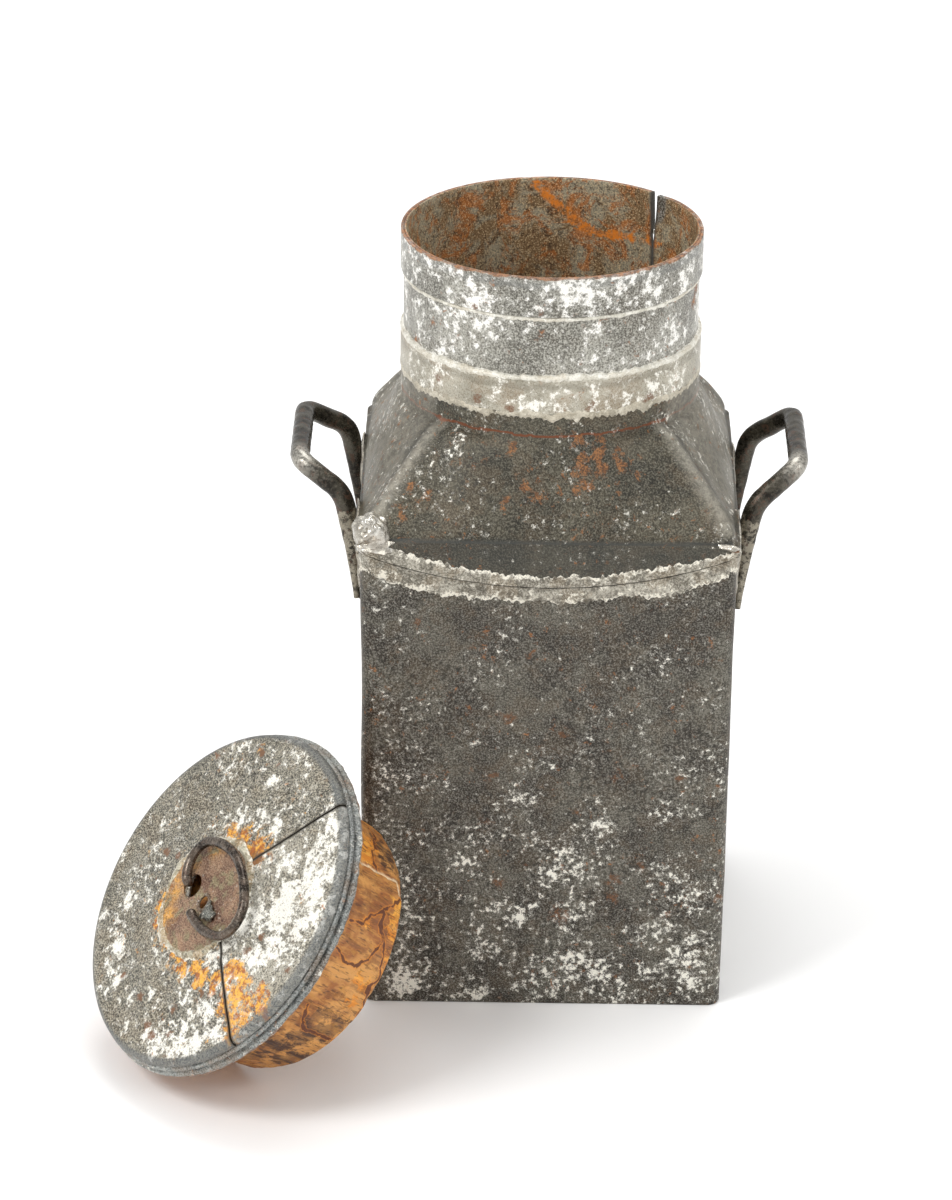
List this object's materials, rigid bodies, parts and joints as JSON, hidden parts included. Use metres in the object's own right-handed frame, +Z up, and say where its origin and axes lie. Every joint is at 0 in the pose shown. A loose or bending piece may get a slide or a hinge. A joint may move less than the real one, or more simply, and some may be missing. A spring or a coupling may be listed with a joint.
{
  "type": "milk can",
  "caption": "Square sheet-metal milk can with a sloped shoulder, round neck and rod side handles, with a loose cap on a tapered wooden stopper and a wire pull ring.",
  "frame": {"origin": "middle of the can's base, on the floor", "axes": "+Z up through the neck, -Y the can's front, +X the can's right side seen from the front"},
  "size_m": [0.3593, 0.3344, 0.3923],
  "materials": {
    "tinned_sheet": "dull, tarnished tinplate with pale worn specks",
    "neck_sheet": "grey tinplate with bright patches and rust at the rim",
    "solder": "dull pale solder",
    "dark_iron": "dark worn iron, polished by hands",
    "lid_sheet": "mottled tinplate with near-white patches and orange rust",
    "rusted_plate": "brown and olive rust film",
    "stopper_wood": "dry brown wood with dark lines and orange patches",
    "ring_wire": "dark wire with polished highlights"
  },
  "bodies": {
    "can": {"body_wall": "tinned_sheet", "body_seam_solder": "solder", "bottom_plate": "tinned_sheet", "bottom_seam_solder": "solder", "shoulder": "tinned_sheet", "shoulder_solder": "solder", "corner_solder": "solder", "neck_tube": "neck_sheet", "neck_rim_band": "neck_sheet", "neck_rim_solder": "solder", "neck_base_band": "neck_sheet", "neck_base_solder": "solder", "handle_left": "dark_iron", "handle_right": "dark_iron", "handle_solder_left": "solder", "handle_solder_right": "solder"},
    "lid": {"lid_face_main": "lid_sheet", "lid_face_sector": "lid_sheet", "lid_rim_hoop": "lid_sheet", "lid_centre_plate": "rusted_plate", "lid_centre_solder": "solder", "lid_stopper": "stopper_wood"},
    "lid_ring": {"lid_ring": "ring_wire"}
  },
  "joints": [
    {"name": "lid_lift", "type": "slide", "parent": "can", "child": "lid", "axis": [-0.6738, -0.4097, 0.615], "range_m": [0, 0.3]},
    {"name": "ring_hinge", "type": "hinge", "parent": "lid", "child": "lid_ring", "pos_m": [-0.17854, -0.1457, 0.09819], "axis": [0.1305, -0.8744, -0.4674], "range_deg": [0, 80]}
  ]
}
